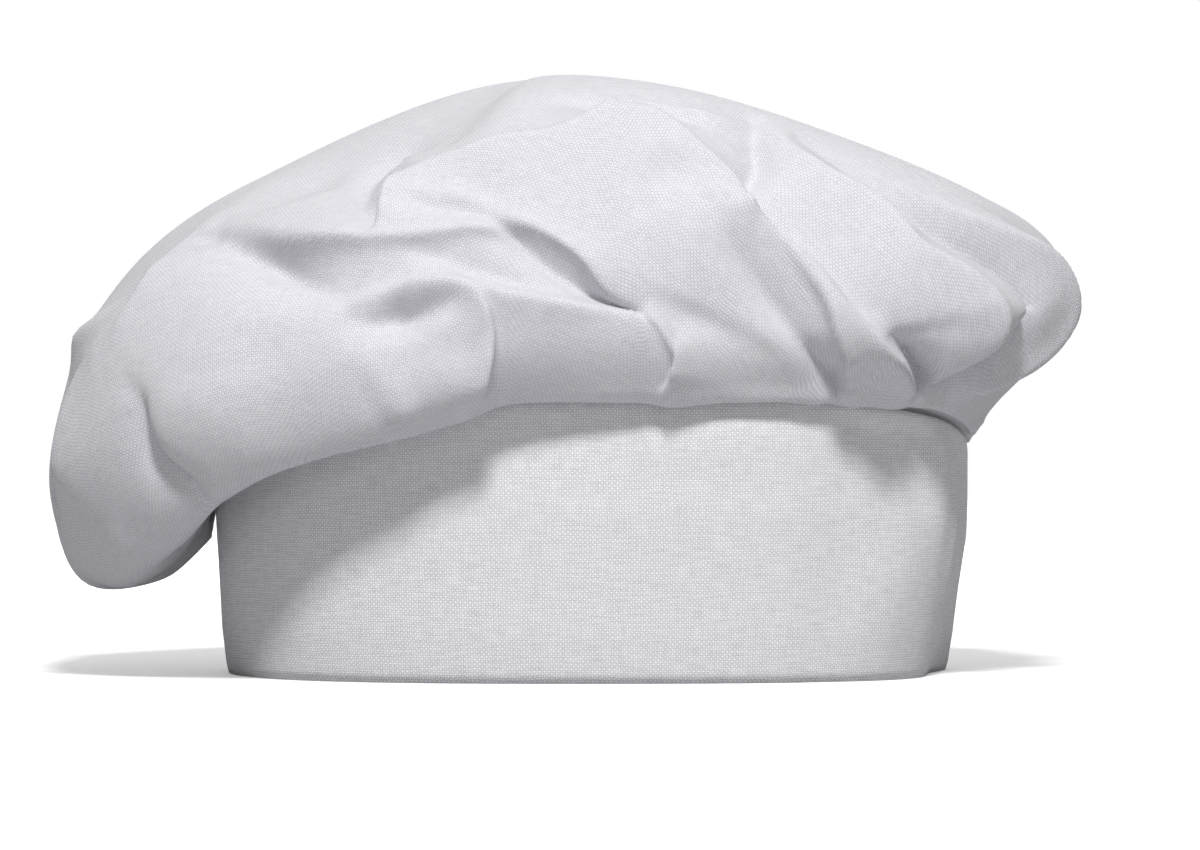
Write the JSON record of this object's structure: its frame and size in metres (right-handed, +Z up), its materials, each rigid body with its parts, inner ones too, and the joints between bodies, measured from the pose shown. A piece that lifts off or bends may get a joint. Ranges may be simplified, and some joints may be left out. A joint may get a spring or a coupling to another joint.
{
  "type": "chef hat",
  "caption": "Soft cloth hat: an upright oval band carries a wide gathered crown that sags over the band on one side.",
  "frame": {"origin": "middle of the hat's footprint, on the plane of the band's lower rim", "axes": "+X to the wearer's side where the crown stands out level, -X to the side it sags over, +Y to the hidden back, +Z up out of the band"},
  "size_m": [0.2676, 0.2248, 0.157],
  "materials": {
    "band_cotton": "matte plain-weave cotton",
    "crown_cotton": "matte plain-weave cotton"
  },
  "bodies": {
    "root": {"band": "band_cotton", "crown": "crown_cotton"}
  },
  "joints": []
}
